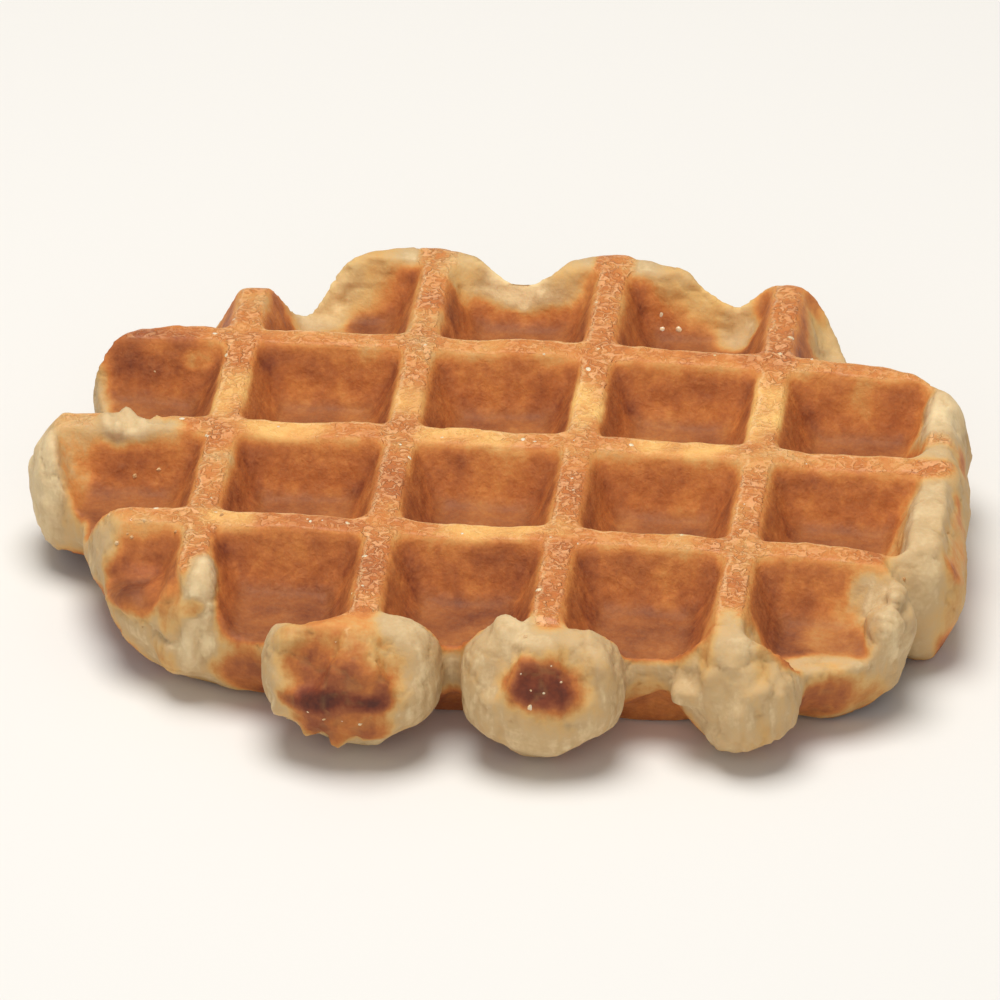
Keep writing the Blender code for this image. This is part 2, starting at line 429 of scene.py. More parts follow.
    def depth(self, x: Array, y: Array) -> Array:
        """Distance inside the dough's outline, seen from above; negative outside it.

        Args:
            x: Places along the waffle.
            y: Places across it.

        Returns:
            The distances.
        """
        power = self.sheet_squareness
        across = np.abs((x - self.sheet_centre[0]) / self.sheet_half[0]) ** power
        up = np.abs((y - self.sheet_centre[1]) / self.sheet_half[1]) ** power
        depth = (1.0 - (across + up) ** (1.0 / power)) * self.sheet_half[1]
        for flow in self.flows():
            depth = soft_max(depth, flow.depth(x, y), self.run_blend)
        return depth + self.edge_ripple * ripple(x, y, self.edge_ripple_length, 0.6)

    def slack(self, x: Array, y: Array) -> Array:
        """How far the upper side lies below the plate that pressed it.

        Args:
            x: Places along the waffle.
            y: Places across it.

        Returns:
            The drop.
        """
        half_x, half_y = self.dome_half
        drop = self.dome_along * (x / half_x) ** 2 + self.dome_across * (y / half_y) ** 2
        drop = drop + self.rib_ripple * ripple(x, y, self.rib_ripple_length, 0.0)
        for place in self.slacks():
            along, across = x - place.x, y - place.y
            if place.way is Run.ALONG_Y:
                along, across = across, along
            here = np.exp(-((along / self.sag_along) ** 4) - (across / self.sag_across) ** 2)
            drop = drop + place.drop * here
        return drop

    def free_height(self, x: Array, y: Array, face: Face) -> Array:
        """Distance from the middle that the dough would reach if no plate were in the way.

        Args:
            x: Places along the waffle.
            y: Places across it.
            face: The side to work out.

        Returns:
            The height above or below the middle; negative outside the dough.
        """
        width = self.upper_bulge_width if face is Face.UPPER else self.lower_bulge_width
        depth = self.depth(x, y)
        inward = np.clip(depth / width, 0.0, 1.0)
        bulge = self.bulge_height * np.sqrt(1.0 - (1.0 - inward) ** 2)
        height = np.where(depth > 0.0, bulge, self.outside_fall * depth)
        power = self.knob_squareness
        for knob in self.knobs():
            across, up = knob.aside(x, y)
            reach = np.abs(across) ** power + np.abs(up) ** power
            half = np.maximum(1.0 - reach, 0.0) ** (1.0 / power) * knob.rz
            half = half + face.value * (knob.z - self.iron.middle)
            outside = self.outside_fall * (1.0 - reach) * knob.rx
            height = soft_max(height, np.where(reach < 1.0, half, outside), self.knob_blend)
        return height

    def knob_reach(self, x: Array, y: Array) -> Array:
        """How far each place is from the nearest knob's middle, as a share of its half axes."""
        return np.minimum.reduce([np.hypot(*knob.aside(x, y)) for knob in self.knobs()])

    def plate(self, x: Array, y: Array, face: Face) -> Array:
        """Height of a plate above or below each place.

        Args:
            x: Places along the waffle.
            y: Places across it.
            face: The face that the plate presses.

        Returns:
            The heights.
        """
        depth = self.iron.depth(x, y, face)
        if face is Face.UPPER:
            return self.iron.thickness - depth - self.slack(x, y)
        return depth * (1.0 - self.knob_spread * fade(self.knob_reach(x, y), 1.5, 0.9))

    def side(self, x: Array, y: Array, face: Face) -> Array:
        """Height of the dough's upper or lower side.

        Args:
            x: Places along the waffle.
            y: Places across it.
            face: The side to work out.

        Returns:
            The heights. Outside the outline the two sides have crossed.
        """
        free = self.iron.middle + face.value * self.free_height(x, y, face)
        if face is Face.UPPER:
            return soft_min(free, self.plate(x, y, face), self.plate_crease)
        near = fade(self.knob_reach(x, y), 1.7, 0.9)
        width = self.plate_crease + (self.knob_crease - self.plate_crease) * near
        return soft_max(free, self.plate(x, y, face), width)


def read_rows(items: bpy.types.bpy_prop_collection, key: str) -> Array:
    """Reads three numbers from each of a mesh's items.

    Args:
        items: The points, or their normals.
        key: What to read from each.

    Returns:
        One row for each item.
    """
    flat = np.empty(len(items) * 3, dtype=np.float32)
    items.foreach_get(key, flat)
    return flat.reshape(-1, 3).astype(float)


def read_points(mesh: bpy.types.Mesh) -> Array:
    """A mesh's points in millimetres, one row each."""
    return read_rows(mesh.vertices, "co") / MM


def write_points(mesh: bpy.types.Mesh, places: Array) -> None:
    """Moves a mesh's points to places in millimetres."""
    mesh.vertices.foreach_set("co", (places * MM).astype(np.float32).ravel())
    mesh.update()


def write_mask(mesh: bpy.types.Mesh, name: str, values: Array) -> None:
    """Keeps one number for each point, for a material to read."""
    layer = mesh.attributes.new(name, "FLOAT", "POINT")
    layer.data.foreach_set("value", np.clip(values, 0.0, 1.0).astype(np.float32))


def bake_modifiers(shape: bpy.types.Object) -> None:
    """Replaces an object's mesh by what its modifiers make of it.

    Args:
        shape: The object, which is left with no modifiers.
    """
    graph = bpy.context.evaluated_depsgraph_get()
    mesh = bpy.data.meshes.new_from_object(shape.evaluated_get(graph))
    shape.modifiers.clear()
    shape.data = mesh


def configure(thing: object, settings: dict[str, object]) -> None:
    """Sets a thing's properties by their names."""
    for name, value in settings.items():
        setattr(thing, name, value)


def add_modifier(shape: bpy.types.Object, kind: str, name: str, **settings: object) -> None:
    """Puts a modifier with its settings on an object."""
    configure(shape.modifiers.new(name, kind), settings)


def new_object(name: str, data: bpy.types.ID) -> bpy.types.Object:
    """Wraps data in an object of the scene.

    Args:
        name: The object's name.
        data: A mesh, a lamp or a camera.

    Returns:
        The object.
    """
    made = bpy.data.objects.new(name, data)
    bpy.context.scene.collection.objects.link(made)
    return made


def mesh_object(name: str, bm: bmesh.types.BMesh) -> bpy.types.Object:
    """Turns a finished bmesh into an object of the scene.

    Args:
        name: The object's name, and its mesh's.
        bm: The bmesh, which is freed.

    Returns:
        The object.
    """
    mesh = bpy.data.meshes.new(name)
    bm.to_mesh(mesh)
    bm.free()
    return new_object(name, mesh)


class NodeSheet:
    """A node tree that is written down line by line."""

    def __init__(self, tree: bpy.types.NodeTree) -> None:
        """Keeps the tree."""
        self.tree = tree

    def feed(self, node: bpy.types.Node, values: dict[str | int, object]) -> None:
        """Sets a node's inputs.

        Args:
            node: The node.
            values: Input names or numbers, each with a value or an output socket to read.
        """
        for key, value in values.items():
            if isinstance(value, Wire):
                self.tree.links.new(value, node.inputs[key])
            else:
                node.inputs[key].default_value = value

    def add(self, kind: str, values: dict | None = None, **settings: object) -> bpy.types.Node:
        """Adds one node.

        Args:
            kind: The node's type, without the leading ShaderNode.
            values: What its inputs get.
            **settings: Properties of the node.

        Returns:
            The node.
        """
        node = self.tree.nodes.new("ShaderNode" + kind)
        configure(node, settings)
        self.feed(node, values or {})
        return node

    def math(self, operation: str, *values: object) -> Wire:
        """A math node's result."""
        return self.add("Math", dict(enumerate(values)), operation=operation).outputs[0]

    def plus(self, a: object, b: object) -> Wire:
        """The sum of two values."""
        return self.math("ADD", a, b)

    def times(self, a: object, b: object) -> Wire:
        """The product of two values."""
        return self.math("MULTIPLY", a, b)

    def span(self, value: Wire, *ends: float) -> Wire:
        """Maps a value, held at the ends: from low, from high, to low, to high."""
        return self.add("MapRange", dict(enumerate((value, *ends)))).outputs[0]

    def mix(self, share: object, a: object, b: object, blend: str = "MIX") -> Wire:
        """Mixes two colours, each a colour or its socket.

        Args:
            share: How much of the second colour.
            a: The first colour.
            b: The second colour.
            blend: The blend mode.

        Returns:
            The mixed colour.
        """
        a, b = ((*c, 1.0) if isinstance(c, tuple) else c for c in (a, b))
        values = {0: share, 6: a, 7: b}
        return self.add("Mix", values, data_type="RGBA", blend_type=blend).outputs[2]

    def ramp(self, value: Wire, steps: Rows) -> Wire:
        """Turns a value into a colour.

        Args:
            value: The value, from 0 to 1.
            steps: Places on the ramp, each with its colour.

        Returns:
            The colour.
        """
        node = self.add("ValToRGB", {0: value})
        stops = node.color_ramp.elements
        while len(stops) < len(steps):
            stops.new(0.5)
        for stop, (place, colour) in zip(stops, steps):
            stop.position, stop.color = place, (*colour, 1.0)
        return node.outputs[0]

    def mask(self, name: str) -> Wire:
        """A number kept on the mesh's points."""
        return self.add("Attribute", attribute_name=name, attribute_type="GEOMETRY").outputs["Fac"]

    def where(self) -> Wire:
        """The object's own coordinates."""
        return self.add("TexCoord").outputs["Object"]

    def drawn_out(self, height: float) -> Wire:
        """The object's own coordinates with their height scaled, which draws a pattern out."""
        values = {"Vector": self.where(), "Scale": (1.0, 1.0, height)}
        return self.add("Mapping", values).outputs[0]

    def noise(self, where: Wire, size: float, detail: float, twist: float = 0.0) -> Wire:
        """Soft noise, about 0.5 on average, with lumps of a size in metres that a twist bends."""
        values = {"Vector": where, "Scale": 1.0 / size, "Detail": detail, "Distortion": twist}
        return self.add("TexNoise", values).outputs[0]

    def bump(self, height: Wire, distance: float, strength: float) -> Wire:
        """A normal that leans with a height."""
        values = {"Strength": strength, "Distance": distance, "Height": height}
        return self.add("Bump", values).outputs[0]


class CrustGrain:
    """The shader group that every baked surface shares: its lumps, pits and mottling."""

    NAME = "baked_grain"

    @staticmethod
    def tree() -> bpy.types.NodeTree:
        """The group, written the first time that it is asked for.

        Returns:
            A tree with the inputs Vector, Lump and Fine, and the outputs Mottle and Height.
        """
        made = bpy.data.node_groups.get(CrustGrain.NAME)
        if made:
            return made
        made = bpy.data.node_groups.new(CrustGrain.NAME, "ShaderNodeTree")
        for name, kind in (("Vector", "Vector"), ("Lump", "Float"), ("Fine", "Float")):
            made.interface.new_socket(name, in_out="INPUT", socket_type="NodeSocket" + kind)
        for name in ("Mottle", "Height"):
            made.interface.new_socket(name, in_out="OUTPUT", socket_type="NodeSocketFloat")
        sheet = NodeSheet(made)
        given = made.nodes.new("NodeGroupInput").outputs
        where = given["Vector"]
        lump = sheet.times(sheet.noise(where, 0.0019, 3.0), given["Lump"])
        fine = sheet.times(sheet.noise(where, 0.00055, 3.0), given["Fine"])
        results = {"Mottle": sheet.noise(where, 0.0046, 5.0), "Height": sheet.plus(lump, fine)}
        sheet.feed(made.nodes.new("NodeGroupOutput"), results)
        return made

    @staticmethod
    def place(sheet: NodeSheet, lump: float, fine: float) -> tuple[Wire, Wire]:
        """Puts the group in a material, and gives its mottling and its height."""
        values = {"Vector": sheet.where(), "Lump": lump, "Fine": fine}
        return tuple(sheet.add("Group", values, node_tree=CrustGrain.tree()).outputs)


@dataclass(frozen=True)
class Finish:
    """A material that is written down as nodes."""

    name: str

    def looks(self, sheet: NodeSheet) -> dict[str, object]:
        """Writes the nodes, and gives the shader's inputs."""
        raise NotImplementedError

    def material(self) -> bpy.types.Material:
        """Builds the material.

        Returns:
            A material whose shader reads the nodes.
        """
        made = bpy.data.materials.new(self.name)
        made.use_nodes = True
        sheet = NodeSheet(made.node_tree)
        sheet.feed(made.node_tree.nodes["Principled BSDF"], self.looks(sheet))
        return made


@dataclass(frozen=True)
class CrustFinish(Finish):
    """Baked dough: cream where it ran free, through gold and orange to dark brown on the iron."""

    name: str = "baked_crust"
    steps: Rows = (
        (0.00, (0.820, 0.640, 0.370)),
        (0.11, (0.575, 0.400, 0.208)),
        (0.22, (0.640, 0.400, 0.165)),
        (0.34, (0.680, 0.325, 0.098)),
        (0.46, (0.640, 0.238, 0.062)),
        (0.58, (0.510, 0.168, 0.046)),
        (0.72, (0.380, 0.116, 0.036)),
        (0.86, (0.240, 0.065, 0.026)),
        (1.00, (0.120, 0.030, 0.018)),
    )
    free_steps: Rows = (
        (0.00, (0.830, 0.650, 0.380)),
        (0.12, (0.585, 0.405, 0.208)),
        (0.26, (0.660, 0.400, 0.150)),
        (0.40, (0.580, 0.270, 0.080)),
        (0.54, (0.500, 0.170, 0.045)),
        (0.70, (0.320, 0.096, 0.036)),
        (0.86, (0.200, 0.048, 0.022)),
        (1.00, (0.100, 0.028, 0.018)),
    )
    gold: Colour = (0.980, 0.645, 0.215)
    # Painted highlight: the pale colour of the thin lines along the ribs' left and back edges.
    rim: Colour = (0.930, 0.640, 0.330)
    # Partly the glaze's own colour, partly painted highlight: laid on the crests of the sugar's
    # crinkles.
    sugar: Colour = (0.860, 0.450, 0.215)
    # Painted shade: the dark colour laid into the folds of the free dough.
    crease_shade: Colour = (0.430, 0.240, 0.095)
    # Partly the glaze's own colour, partly painted shade: laid in the creases of the sugar's
    # crinkles.
    skin: Colour = (0.520, 0.150, 0.036)
    # Painted shade: a cool grey that multiplies the floors of deep pockets, where the ribs keep
    # light off.
    shade: Colour = (0.700, 0.740, 0.800)
    bump: float = 0.0004
    half_pitch: float = Iron.pitch / 2.0
    edge_highlight_place: float = 1.7
    edge_highlight_share: float = 0.36

    def looks(self, sheet: NodeSheet) -> dict[str, object]:
        """Writes the crust's nodes, which read its masks.

        Args:
            sheet: The tree to write in.

        Returns:
            The shader's inputs.
        """
        caramel = sheet.mask("caramel")
        mottle, relief = CrustGrain.place(sheet, 0.6, 0.12)
        blotch = sheet.noise(sheet.drawn_out(0.45), 0.0075, 2.0)
        mottle = sheet.plus(sheet.times(mottle, 0.5), sheet.times(blotch, 0.5))
        streak = sheet.noise(sheet.drawn_out(0.16), 0.0014, 3.0)
        wrinkle = self.wrinkles(sheet, sheet.where())
        colour = self.colours(sheet, self.browning(sheet, mottle, streak), wrinkle, mottle)
        rough = sheet.span(caramel, 0, 1, 0.62, 0.40)
        height = sheet.times(wrinkle, sheet.span(caramel, 0, 1, 0, 0.75))
        height = sheet.plus(height, relief)
        lines = sheet.times(streak, sheet.span(sheet.mask("wall"), 0, 1, 0, 0.12))
        return {
            # The base colour takes the painted highlight lines along the ribs' edges.
            "Base Color": sheet.mix(self.edge_highlight_lines(sheet), colour, self.rim),
            "Roughness": sheet.plus(rough, sheet.span(mottle, 0.3, 0.7, 0.08, -0.08)),
            "Normal": sheet.bump(sheet.plus(height, lines), self.bump, 1.0),
            "Coat Weight": sheet.span(caramel, 0.2, 1, 0, 0.3),
            "Coat Roughness": 0.26,
            "Specular IOR Level": 0.2,
            "Subsurface Weight": 0.10,
            "Subsurface Radius": (1.0, 0.45, 0.2),
            "Subsurface Scale": 0.002,
        }

    def wrinkles(self, sheet: NodeSheet, where: Wire) -> Wire:
        """The sugar's crinkled skin, from 0 in its creases to 1 on the crinkles between them."""
        worms, blister = sheet.noise(where, 0.0012, 1.0, 1.3), sheet.noise(where, 0.0028, 1.0)
        return sheet.times(sheet.span(worms, 0.4, 0.6, 0, 1), sheet.span(blister, 0.4, 0.6, 0.7, 1))

    def browning(self, sheet: NodeSheet, mottle: Wire, streak: Wire) -> Wire:
        """How far each place is baked, with the painted shade and highlights that its mask carries.

        Args:
            sheet: The tree to write in.
            mottle: Soft mottling.
            streak: Fine streaks that run down a pocket's walls.

        Returns:
            0 for cream to 1 for dark brown.
        """
        baked = sheet.mask("bake_and_painted_light")
        uneven = sheet.span(mottle, 0.36, 0.64, -0.14, 0.11)
        speck = sheet.span(sheet.noise(sheet.where(), 0.0007, 2), 0.3, 0.7, -0.04, 0.04)
        uneven = sheet.times(sheet.plus(uneven, speck), sheet.span(baked, 0.08, 0.42, 0.3, 1))
        lines = sheet.times(sheet.span(streak, 0.3, 0.7, -0.05, 0.05), sheet.mask("wall"))
        return sheet.plus(sheet.plus(baked, uneven), lines)

    def edge_highlight_lines(self, sheet: NodeSheet) -> Wire:
        """Thin pale lines of painted highlight along the ribs' left and back edges.

        Args:
            sheet: The tree to write in.

        Returns:
            How much of the pale colour each place takes.
        """
        half = self.half_pitch
        wobble = sheet.span(sheet.noise(sheet.where(), 0.0024, 2), 0.3, 0.7, -0.5, 0.5)
        column = sheet.span(sheet.mask("column"), 0, 1, -half, half)
        row = sheet.span(sheet.mask("row"), 0, 1, -half, half)
        lines = []
        for beside, other, place in ((column, row, -self.edge_highlight_place), (row, column, self.edge_highlight_place)):
            away = sheet.math("ABSOLUTE", sheet.math("SUBTRACT", sheet.plus(beside, wobble), place))
            clear = sheet.span(sheet.math("ABSOLUTE", other), 1.8, 3, 0, 1)
            lines.append(sheet.times(sheet.span(away, 0.05, 0.4, 1, 0), clear))
        line = sheet.times(sheet.math("MAXIMUM", *lines), sheet.mask("crown"))
        return sheet.times(line, self.edge_highlight_share)

    def colours(self, sheet: NodeSheet, bake_and_painted_light: Wire, wrinkle: Wire, mottle: Wire) -> Wire:
        """Turns the browning into colour.

        Args:
            sheet: The tree to write in.
            bake_and_painted_light: How far each place is baked, with painted shade and highlights.
            wrinkle: The sugar's crinkles.
            mottle: Soft mottling, which the golden stretches share.

        Returns:
            The crust's colour, with its painted shade and highlights, but without the painted
            highlight lines along the ribs' edges.
        """
        caramel = sheet.mask("caramel")
        pressed = sheet.span(sheet.mask("pressed"), 0.15, 0.6, 0, 1)
        colour = sheet.mix(pressed, sheet.ramp(bake_and_painted_light, self.free_steps), sheet.ramp(bake_and_painted_light, self.steps))
        gold = sheet.times(sheet.mask("gold"), sheet.span(mottle, 0.35, 0.62, 0.85, 0.45))
        # The crinkles' creases darken and their crests lighten: partly the glaze's own grain,
        # partly painted shade and painted highlight.
        crease_shade = sheet.times(caramel, sheet.span(wrinkle, 0, 0.5, 0.50, 0))
        light = sheet.times(caramel, sheet.span(wrinkle, 0.4, 0.95, 0, 0.62))
        for share, over in (
            # Painted shade laid into the folds.
            (sheet.times(sheet.mask("fold"), 0.25), self.crease_shade),
            (gold, self.gold),
            (crease_shade, self.skin),
            (light, self.sugar),
        ):
            colour = sheet.mix(share, colour, over)
        # Painted shade: the floors of deep pockets are multiplied by the cool grey.
        return sheet.mix(sheet.mask("deep"), colour, self.shade, "MULTIPLY")


@dataclass(frozen=True)
class SugarFinish(Finish):
    """Pearl sugar that half melted: milky, with a wet gloss."""

    name: str = "pearl_sugar"
    colour: Colour = (0.86, 0.72, 0.52)
    edge: Colour = (0.80, 0.52, 0.26)
    roughness: float = 0.22

    def looks(self, sheet: NodeSheet) -> dict[str, object]:
        """Writes the nodes of a glossy sugar that light sinks into.

        Args:
            sheet: The tree to write in.

        Returns:
            The shader's inputs.
        """
        cloud = sheet.noise(sheet.where(), 0.0009, 3.0)
        share = sheet.span(cloud, 0.35, 0.65, 0, 1)
        return {
            "Base Color": sheet.mix(share, self.colour, self.edge),
            "Roughness": sheet.span(cloud, 0.3, 0.7, self.roughness - 0.08, self.roughness + 0.14),
            "Normal": sheet.bump(cloud, 0.0002, 0.6),
            "Subsurface Weight": 0.35,
            "Subsurface Radius": (1.0, 0.7, 0.4),
            "Subsurface Scale": 0.0012,
        }


@dataclass(frozen=True)
class CrumbFinish(Finish):
    """Loose scraps of pale, dry crumb."""

    name: str = "pale_crumb"
    colour: Colour = (0.70, 0.50, 0.27)
    brown: Colour = (0.55, 0.27, 0.09)

    def looks(self, sheet: NodeSheet) -> dict[str, object]:
        """Writes the nodes of a rough crumb that goes from cream to light brown.

        Args:
            sheet: The tree to write in.

        Returns:
            The shader's inputs.
        """
        mottle, height = CrustGrain.place(sheet, 0.4, 0.6)
        return {
            "Base Color": sheet.mix(sheet.span(mottle, 0.4, 0.62, 0, 1), self.colour, self.brown),
            "Roughness": sheet.span(mottle, 0.3, 0.7, 0.85, 0.65),
            "Normal": sheet.bump(height, 0.0003, 0.8),
        }


@dataclass(frozen=True)
class FloorFinish(Finish):
    """A dull, pale, warm grey."""

    name: str = "floor"
    colour: Colour = (0.80, 0.79, 0.77)
    roughness: float = 0.9

    def looks(self, sheet: NodeSheet) -> dict[str, object]:
        """Gives plain values, with no nodes."""
        return {"Base Color": (*self.colour, 1.0), "Roughness": self.roughness}


@dataclass
class Crust:
    """The waffle itself: its fine form, its relief and its browning."""

    dough: Dough = field(default_factory=Dough)
    finish: CrustFinish = field(default_factory=CrustFinish)
    grid_step: float = 0.5
    voxel: float = 0.62
    triangles: int = 190000
    half_length: float = 84.0
    half_width: float = 76.0
    plate_clearance: float = 12.0
    lump: float = 0.22
    fine_lump: float = 0.12
    free_lump: float = 0.38
    torn_lump: float = 0.7
    fold: float = 0.32
    corner_shade_width: float = 2.0
    skin_over_plate: float = 0.1
    slope_step: float = 0.3
    piece: bpy.types.Object | None = None
    centre: Array = field(default_factory=lambda: np.zeros(3))
    left_end: Rows = (
        (-53, 23, 17, 10, 7, 9, BROWN, 0.4),
        (-54, 24.5, 19.5, 8, 4, 5, MAROON, 0.45),
        (-53.5, 24.2, 20.8, 3, 2, 2, AMBER, 0.6),
        (-46.6, 24, 18.8, 2.6, 2.4, 1.8, HONEY, 0.55),
        (-62.5, 19.5, 13, 3.4, 6, 11, CREAM, 0.9),
        (-61.5, -7, 16, 2.6, 11, 9, HONEY, 0.6),
        (-67.5, -8, 13, 6.2, 15, 14, CREAM),
        (-67.5, -8, 14, 5, 14, 12, MILK, 0.6),
        (-61.5, -1, 20.5, 4, 5, 4, HONEY, 0.8),
        (-47, 0.6, 22, 3.6, 3, 2.6, BROWN, 0.45),
        (-53.6, 0, 21.2, 7, 4, 3.2, CREAM, 0.9),
        (-53, 0.2, 21.6, 6.6, 3.2, 2.8, MILK, 0.55),
        (-53.4, 0.4, 21.6, 6, 3.2, 2.8, TORN),
        (-49, -28.6, 21.6, 5, 3.4, 2.6, HONEY, 0.8),
        (-54.4, -30.5, 18, 2.8, 4.5, 7, CREAM, 0.9),
        (-48.4, -34, 14.5, 6.2, 6, 5.4, BROWN),
        (-48.4, -34, 14, 4.6, 5, 4, MAROON, 0.3),
        (-43.5, -33, 17.5, 2, 6, 4, BROWN, 0.7),
        (-42.4, -42.5, 15.5, 2.4, 4, 5, AMBER, 0.9),
        (-38.8, -47, 10.5, 5, 4, 5, MILK, 0.6),
        (-38.2, -42.5, 18, 3.2, 7, 6.5, CREAM, 0.9),
        (-38, -42, 18.8, 2.6, 7.5, 5.6, MILK, 0.7),
        (-39.3, -44.2, 17, 1.8, 2.5, 1.6, AMBER, 0.95),
        (-44, -43, 6.8, 3.4, 3.5, 3, AMBER, 0.8),
        (-34.5, -38, 16, 2, 8, 6, BROWN, 0.7),
        (-27.5, -42.5, 13.2, 9, 6, 3, BROWN, 0.95),
        (-29, -47, 6.2, 7.5, 5, 6, BROWN),
        (-28.5, -49.2, 12, 7, 1.8, 1.2, HONEY, 0.7),
    )
    back_edge: Rows = (
        (-31, 48.5, 15.5, 5.4, 6.5, 9, CREAM),
        (-26, 49.5, 18.5, 4.5, 5, 6, HONEY, 0.7),
        (-27, -1.5, 17, 10, 4, 4, BROWN, 0.5),
        (-28, 50.5, 17.5, 6, 5, 6.5, GOLD, 0.8),
        (0, 51.5, 19.5, 12, 5, 4.5, GOLD, 0.4),
        (30, 51, 18.5, 7, 4.5, 5.5, GOLD, 0.7),
        (47.5, 47, 15, 4.6, 6, 8, GOLD, 0.4),
        (-0.5, 51.2, 19.4, 10, 5.2, 4, MILK),
        (-29.2, 50.5, 17, 3.8, 4.5, 5.6, CREAM, 0.9),
        (-28, 50.5, 17.5, 4.6, 4.6, 5.6, MILK, 0.5),
        (-8.6, 52.4, 20.6, 4, 3.4, 3.4, HONEY, 0.8),
        (6.4, 52.4, 20.6, 3.6, 3, 3, HONEY, 0.7),
        (30.4, 51.6, 18.4, 5.4, 4, 5, HONEY, 0.85),
        (34, 48, 14.5, 3.6, 4, 6, CREAM, 0.9),
        (48, 46, 15, 4.8, 6.5, 8.5, CREAM, 0.95),
        (-50, 36, 14, 5, 6, 12, CREAM, 0.8),
    )
    right_end: Rows = (
        (67.5, 17, 19, 6, 9.5, 8, CREAM, 0.85),
        (67.5, 15, 20, 4.6, 8, 5, MILK, 0.6),
        (68, 4.8, 20.6, 5.5, 3.6, 4, CREAM, 0.9),
        (68.5, -6, 20.6, 6, 5, 4.5, CREAM),
        (67, -17.5, 19, 6.2, 13, 9, CREAM),
        (75, -12, 10, 5.5, 30, 12, HONEY, 0.95),
        (63, -12, 17, 1.6, 11, 4, AMBER, 0.6),
        (66, -33, 14, 4.6, 10, 13, CREAM),
        (63, -36.5, 15.5, 3.4, 6, 7, CREAM, 0.95),
        (62.5, -34, 17.5, 5.6, 6, 7.5, CREAM),
        (59.6, -36.5, 16, 1.6, 5, 5, HONEY, 0.5),
        (56, -37, 13.5, 5.5, 7, 5, AMBER, 0.7),
        (58.5, -33.5, 18, 3.4, 5, 5, GOLD, 0.7),
        (56, -44.2, 12.4, 10.5, 3.6, 2.8, CREAM),
        (54.5, -43.5, 6, 8.5, 5, 5.4, BROWN),
        (61, -41, 5, 4, 5, 4.6, AMBER, 0.6),
    )
    front_edge: Rows = (
        (-17.5, -57.5, 19, 10, 8, 7.5, AMBER),
        (-24.5, -56.5, 20.6, 4.6, 4, 3.2, HONEY, 0.7),
        (-15.5, -57.5, 17, 8.5, 8, 5.5, BROWN, 0.3),
        (-16, -60, 15.8, 10.5, 6, 4.4, BROWN, 0.95),
        # Painted shade: a maroon band low on the front of the second column's knob, for the shadow
        # in the hollow there.
        (-15.8, -61, 12, 9.5, 5, 2.6, MAROON, 0.9),
        (-15, -60.5, 8.4, 8, 5, 3.2, BROWN, 0.95),
        (-26, -57, 8.4, 2.6, 4, 4.4, CREAM),
        (-22, -59, 5, 4.6, 4, 2.2, CREAM),
        (-13.5, -60, 4.2, 5.6, 4, 1.8, CREAM, 0.9),
        (-15, -60.5, 6.8, 6.5, 4, 2.2, BROWN, 0.9),
        (-7.6, -53.4, 21.4, 5, 5, 3, CREAM),
        (8, -52.6, 21.8, 5.2, 5, 3, CREAM),
        (21.8, -53, 21, 6.2, 5.4, 3.2, CREAM),
        (14.5, -57, 20.8, 13, 4.4, 3.4, CREAM),
        (16.2, -61, 16.4, 9, 5, 7.2, HONEY, 0.9),
        (16, -61, 16.8, 6.8, 5, 5.2, AMBER, 0.75),
        (15, -61, 16.2, 5.6, 5, 4.4, BROWN),
        (14.8, -61, 16.2, 4.6, 5, 3.8, MAROON, 0.75),
        (0, -43, 13.5, 9, 5.5, 2.2, BROWN, 0.75),
        (0, -45.5, 3.8, 8, 7, 5.4, BROWN, 0.9),
        (0.5, -49.5, 12.4, 5, 3.2, 2.6, CREAM, 0.95),
        (30, -43.5, 13.5, 9.5, 5, 2.2, BROWN, 0.75),
        (31, -46, 5, 11, 7, 5.4, AMBER, 0.7),
        (30, -49, 13, 9, 1.3, 1.2, CREAM, 0.95),
        (43.2, -51.5, 18, 7, 7.5, 8, CREAM),
        (43.5, -55.5, 10, 10, 8, 12, CREAM),
        (38.4, -48, 17, 1.8, 7, 6.5, AMBER, 0.85),
        (46.8, -49, 17, 1.6, 6, 6, AMBER, 0.6),
        (43.5, -56, 11, 9, 7, 9, HONEY, 0.3),
        (43.5, -54, 12, 10, 8, 12, TORN, 0.42),
    )
    ribs: Rows = (
        (1.5, 3, 0, 0, 22, 10, 3, 3, BROWN, 0.45),
        (2, 3.5, 0, 3, 22, 3.5, 8, 3, BROWN, 0.65),
        (2, 1.5, 0, -1, 22, 3.5, 6, 3, BROWN, 0.5),
        (2, 2.5, 0, 0, 22, 3.5, 8, 3, BROWN, 0.65),
        (3, 2.5, 0, 0, 22, 3.5, 8, 3, BROWN, 0.3),
        (3, 3.5, 0, 0, 22, 3.5, 8, 3, BROWN, 0.3),
        (4, 1.5, 0, 0, 21, 4.6, 9.5, 4, GOLD),
        (3, 1.5, 0, 0, 21, 4.4, 8, 4, GOLD, 0.8),
        (2, 1.5, 0, -3, 21, 4.2, 6, 4, GOLD, 0.6),
        (1, 1.5, 0, -2, 21, 4.2, 8, 4, GOLD, 0.7),
        (1.5, 2, -4, 1, 21, 8, 3, 4, GOLD, 0.7),
        (2.5, 2, -4, 1, 21.5, 8, 2.6, 3, GOLD, 0.6),
        (3.5, 2, 2, 1, 21.5, 9, 2.6, 3, GOLD, 0.7),
        (2.5, 3, 4, 1, 21.5, 7, 2.8, 3, GOLD, 0.8),
        (1, 3, 5, 1, 21, 4.5, 3.4, 4, GOLD, 0.8),
    )

    def patches(self) -> tuple[Patch, ...]:
        """Where the crust is paler or darker than the iron alone makes it, where shade is painted,
        and where it tore.

        Returns:
            The patches, in the order in which they lie over each other.
        """
        iron = self.dough.iron
        edges = (*self.left_end, *self.back_edge, *self.right_end, *self.front_edge)
        ribs = ((iron.column(n) + dx, iron.row(m) + dy, *rest) for n, m, dx, dy, *rest in self.ribs)
        return tuple(Patch(*row) for row in (*edges, *ribs))

